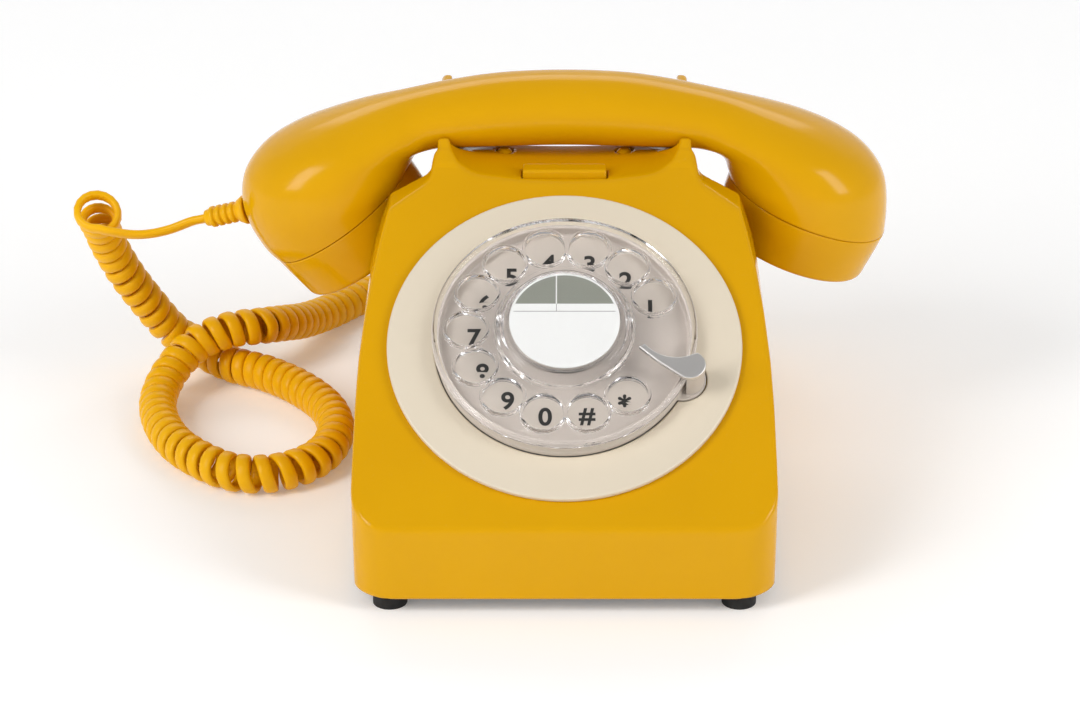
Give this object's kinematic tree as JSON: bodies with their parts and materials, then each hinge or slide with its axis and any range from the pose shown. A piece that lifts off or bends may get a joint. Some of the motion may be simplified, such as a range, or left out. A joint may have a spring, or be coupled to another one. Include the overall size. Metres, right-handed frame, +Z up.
{
  "type": "rotary telephone",
  "caption": "Desk telephone with a clear rotary finger wheel on a sloping case, cradle horns, a lift-off handset and a curly cord.",
  "frame": {"origin": "on the table under the middle of the telephone and its handset, without the cord", "axes": "+Z up, -Y towards the user, +X to the right along the handset"},
  "size_m": [0.2748, 0.2392, 0.1261],
  "materials": {
    "mustard": "gloss",
    "cream": "satin",
    "clear": "gloss",
    "card": "matte",
    "satin_metal": "satin",
    "steel": "satin",
    "brass": "satin",
    "iron": "matte",
    "black": "matte",
    "rubber": "matte",
    "ivory": "satin",
    "board": "satin",
    "cord": "satin"
  },
  "bodies": {
    "base": {"case_shell": "mustard", "base_plate": "black", "feet": "rubber", "base_screws": "steel", "ballast_weight": "iron", "dial_bezel": "cream", "number_plate": "cream", "dial_frame": "steel", "finger_stop": "satin_metal", "stop_screw": "steel", "governor_cup": "steel", "return_spring": "steel", "pulse_contacts": "black", "dial_screws": "steel", "button_spring": "steel", "hook_spring": "steel", "hook_guide": "black", "hook_switch": "black", "circuit_board": "board", "board_parts": "board", "line_socket": "black", "handset_socket": "black", "ringer_housing": "black", "bell_gong_left": "brass", "bell_gong_right": "brass", "bell_posts": "steel", "bell_bracket": "steel", "bell_coils": "iron", "handset_lead": "cord", "curly_cord": "cord", "base_lead": "cord", "cord_plug": "clear"},
    "dial": {"finger_wheel": "clear", "label_card": "card", "label_cover": "clear", "wheel_nut": "brass", "dial_shaft": "steel", "main_gear": "brass"},
    "idler": {"idler_gear": "brass"},
    "governor": {"governor_spindle": "steel", "governor_weights": "brass"},
    "button": {"recall_button": "mustard"},
    "hook": {"hook_plungers": "mustard"},
    "ringer": {"ringer_slider": "ivory"},
    "clapper": {"bell_clapper": "steel"},
    "handset": {"handset_shell": "mustard", "ear_cap": "mustard", "mouth_cap": "mustard", "receiver": "black", "microphone": "black", "handset_weight": "iron", "cord_gland": "cord"}
  },
  "joints": [
    {"name": "dial_turn", "type": "hinge", "parent": "base", "child": "dial", "pos_m": [0, -0.04413, 0.0657], "axis": [0, 0.5461, -0.8377], "range_deg": [0, 320], "stiffness_Nm_per_rad": 0.006, "springref_deg": -57.3},
    {"name": "idler_turn", "type": "hinge", "parent": "base", "child": "idler", "pos_m": [-0.01823, -0.04546, 0.06483], "axis": [0, 0.5461, -0.8377], "range_deg": [-1281, 0]},
    {"name": "governor_turn", "type": "hinge", "parent": "base", "child": "governor", "pos_m": [-0.02078, -0.03334, 0.07273], "axis": [0, 0.5461, -0.8377], "range_deg": [0, 3841]},
    {"name": "button_press", "type": "slide", "parent": "base", "child": "button", "axis": [0, 0, -1], "range_m": [0, 0.0018], "stiffness_N_per_m": 600, "springref_m": -0.001, "deforming": ["button_spring"]},
    {"name": "handset_lift", "type": "slide", "parent": "base", "child": "handset", "axis": [0, 0, 1], "range_m": [0, 0.09]},
    {"name": "hook_rise", "type": "slide", "parent": "base", "child": "hook", "axis": [0, 0, 1], "range_m": [0, 0.004], "deforming": ["hook_spring"]},
    {"name": "ringer_slide", "type": "slide", "parent": "base", "child": "ringer", "axis": [1, 0, 0], "range_m": [0, 0.005]},
    {"name": "clapper_swing", "type": "hinge", "parent": "base", "child": "clapper", "pos_m": [0, 0.079, 0.0235], "axis": [0, 0, 1], "range_deg": [-3, 3]}
  ],
  "couplings": [
    {"joint": "idler_turn", "follows": "dial_turn", "ratio": -4},
    {"joint": "governor_turn", "follows": "dial_turn", "ratio": 12},
    {"joint": "hook_rise", "follows": "handset_lift", "ratio": 0.0444}
  ]
}
